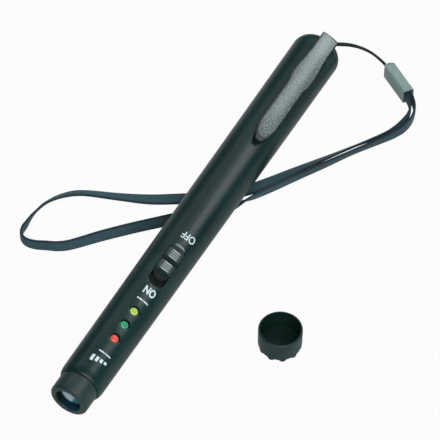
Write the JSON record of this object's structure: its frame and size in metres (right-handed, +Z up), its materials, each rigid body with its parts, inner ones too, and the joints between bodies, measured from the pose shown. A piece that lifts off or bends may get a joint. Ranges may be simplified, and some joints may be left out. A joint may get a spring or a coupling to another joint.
{
  "type": "gas leak detector pen",
  "caption": "Pen-shaped gas leak detector with an open sensor nose, indicator lights, slide switch, pocket clip, loose nose cap and a wrist strap on a cord and bead.",
  "frame": {"origin": "on the pen's axis, at the shoulder that the cap seats against", "axes": "+X along the pen from nose to clip end, +Z up from the surface that it lies on, +Y to the side away from the cap"},
  "size_m": [0.1833, 0.1057, 0.0206],
  "materials": {
    "case_plastic": "moulded, dark charcoal, very fine grain",
    "collar_plastic": "moulded, dark charcoal, smooth",
    "knob_plastic": "moulded, dark charcoal",
    "clip_plastic": "moulded, dark charcoal",
    "clip_face": "speckled silver-grey coat",
    "cap_plastic": "moulded, dark grey",
    "seal_rubber": "matt black",
    "can_steel": "drawn, satin",
    "gauze_steel": "fine mesh, satin",
    "base_plastic": "moulded",
    "board_laminate": "green solder mask",
    "red_lens": "tinted resin, unlit",
    "green_lens": "tinted resin, unlit",
    "yellow_lens": "tinted resin, unlit",
    "spacer_plastic": "natural nylon",
    "switch_plastic": "moulded",
    "lever_plastic": "moulded, off-white",
    "buzzer_plastic": "moulded, black",
    "chip_plastic": "moulded, black",
    "parts_coat": "coated",
    "screw_steel": "zinc plated",
    "contact_brass": "plain strip",
    "contact_steel": "nickel plated",
    "spring_steel": "nickel plated wire",
    "cell_wrap": "coloured sleeve, no marks",
    "lead_cover": "black insulation",
    "pin_steel": "plain rod",
    "cord_braid": "fine braid, dark slate",
    "bead_plastic": "moulded, grey-green, satin",
    "webbing_weave": "narrow woven band, slate blue-grey"
  },
  "bodies": {
    "case": {"upper_case": "case_plastic", "lower_case": "case_plastic", "nose_collar": "collar_plastic", "sensor_seal": "seal_rubber", "sensor_can": "can_steel", "sensor_gauze": "gauze_steel", "sensor_base": "base_plastic", "circuit_board": "board_laminate", "led_red": "red_lens", "led_green": "green_lens", "led_yellow": "yellow_lens", "led_spacers": "spacer_plastic", "switch_base": "switch_plastic", "buzzer": "buzzer_plastic", "controller_chip": "chip_plastic", "board_parts": "parts_coat", "case_screws": "screw_steel", "front_contact": "contact_brass", "rear_contact": "contact_steel", "contact_spring": "spring_steel", "front_cell": "cell_wrap", "rear_cell": "cell_wrap", "negative_lead": "lead_cover", "strap_pin": "pin_steel", "strap_cord": "cord_braid", "strap_bead": "bead_plastic", "strap_webbing": "webbing_weave"},
    "switch": {"switch_knob": "knob_plastic", "switch_lever": "lever_plastic"},
    "clip": {"pocket_clip": "clip_plastic", "clip_plate": "clip_face"},
    "cover": {"battery_cover": "case_plastic"},
    "cap": {"protective_cap": "cap_plastic"}
  },
  "joints": [
    {"name": "switch_slide", "type": "slide", "parent": "case", "child": "switch", "axis": [-1, 0, 0], "range_m": [0, 0.0037]},
    {"name": "clip_flex", "type": "hinge", "parent": "case", "child": "clip", "pos_m": [0.1566, -0.00411, 0.00842], "axis": [0, 0.8988, 0.4384], "range_deg": [0, 5], "stiffness_Nm_per_rad": 0.6},
    {"name": "cover_slide", "type": "slide", "parent": "case", "child": "cover", "axis": [1, 0, 0], "range_m": [0, 0.105]},
    {"name": "cap_lift", "type": "slide", "parent": "case", "child": "cap", "axis": [0, 0, 1], "range_m": [0, 0.04]}
  ]
}
